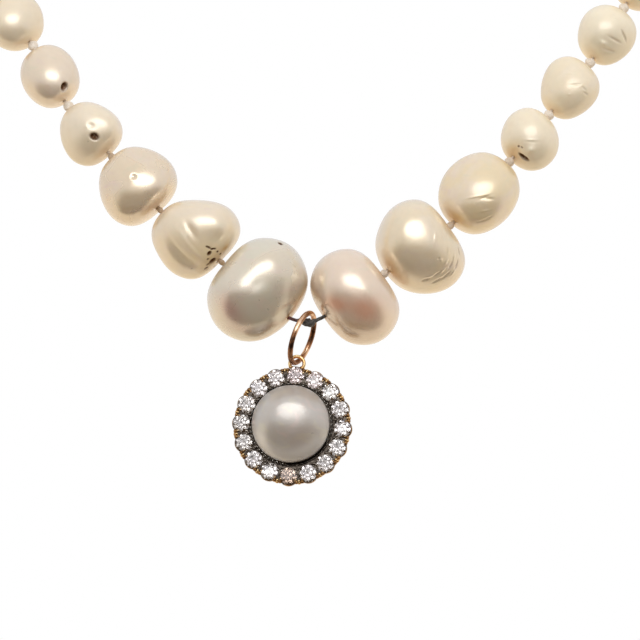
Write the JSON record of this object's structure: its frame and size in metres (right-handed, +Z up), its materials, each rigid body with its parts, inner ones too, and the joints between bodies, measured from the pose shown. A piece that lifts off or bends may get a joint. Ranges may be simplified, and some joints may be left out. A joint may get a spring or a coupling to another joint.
{
  "type": "graduated pearl necklace with cluster pendant",
  "caption": "Whole loop of knotted baroque pearls, largest at the front, with a pearl and diamond cluster that hangs from a jump ring on the middle thread.",
  "frame": {"origin": "nape of the neck, on the inner side of the clasp", "axes": "+Z up, the wearer faces -Y, +X to the right of the picture"},
  "size_m": [0.1234, 0.1328, 0.1167],
  "materials": {
    "cream_pearl": "warm cream nacre, lustrous, with dents, wrinkles and drill stains",
    "silver_white_pearl": "silvery white nacre with rose and grey-green overtones",
    "pink_pearl": "pink cream nacre with a rose-brown lower zone",
    "grey_pearl": "silvery grey button pearl, satin lustre",
    "silk": "twisted cream silk, knotted between the pearls",
    "dark_thread": "worn dark grey thread",
    "rose_gold": "rubbed copper-coloured gold wire, dark in its recesses",
    "silver_on_gold": "blackened silver face with small grains, on a yellow gold gallery and loop",
    "gold": "plain polished yellow gold",
    "diamond": "old-cut diamond with an eight-sided table"
  },
  "bodies": {
    "strand": {"pearl_left_1": "silver_white_pearl", "pearl_left_2": "cream_pearl", "pearl_left_3": "cream_pearl", "pearl_left_4": "cream_pearl", "pearl_left_5": "cream_pearl", "pearl_left_6": "cream_pearl", "pearl_left_7": "cream_pearl", "pearl_left_8": "cream_pearl", "pearl_left_9": "cream_pearl", "pearl_left_10": "cream_pearl", "pearl_left_11": "cream_pearl", "pearl_left_12": "cream_pearl", "pearl_right_1": "pink_pearl", "pearl_right_2": "cream_pearl", "pearl_right_3": "cream_pearl", "pearl_right_4": "cream_pearl", "pearl_right_5": "cream_pearl", "pearl_right_6": "cream_pearl", "pearl_right_7": "cream_pearl", "pearl_right_8": "cream_pearl", "pearl_right_9": "cream_pearl", "pearl_right_10": "cream_pearl", "pearl_right_11": "cream_pearl", "pearl_right_12": "cream_pearl", "back_pearls_left": "cream_pearl", "back_pearls_right": "cream_pearl", "silk_left": "silk", "silk_right": "silk", "middle_thread": "dark_thread", "clasp": "gold"},
    "ring": {"jump_ring": "rose_gold"},
    "pendant": {"pendant_setting": "silver_on_gold", "button_pearl": "grey_pearl", "diamond_1": "diamond", "diamond_2": "diamond", "diamond_3": "diamond", "diamond_4": "diamond", "diamond_5": "diamond", "diamond_6": "diamond", "diamond_7": "diamond", "diamond_8": "diamond", "diamond_9": "diamond", "diamond_10": "diamond", "diamond_11": "diamond", "diamond_12": "diamond", "diamond_13": "diamond", "diamond_14": "diamond", "diamond_15": "diamond", "diamond_16": "diamond"}
  },
  "joints": [
    {"name": "ring_swing", "type": "hinge", "parent": "strand", "child": "ring", "pos_m": [0.0002, -0.124, -0.09516], "axis": [1, 0, 0], "range_deg": [-45, 35]},
    {"name": "pendant_swing", "type": "hinge", "parent": "ring", "child": "pendant", "pos_m": [-0.00103, -0.12285, -0.09993], "axis": [0.4114, 0.882, 0.2301], "range_deg": [-35, 35]}
  ]
}
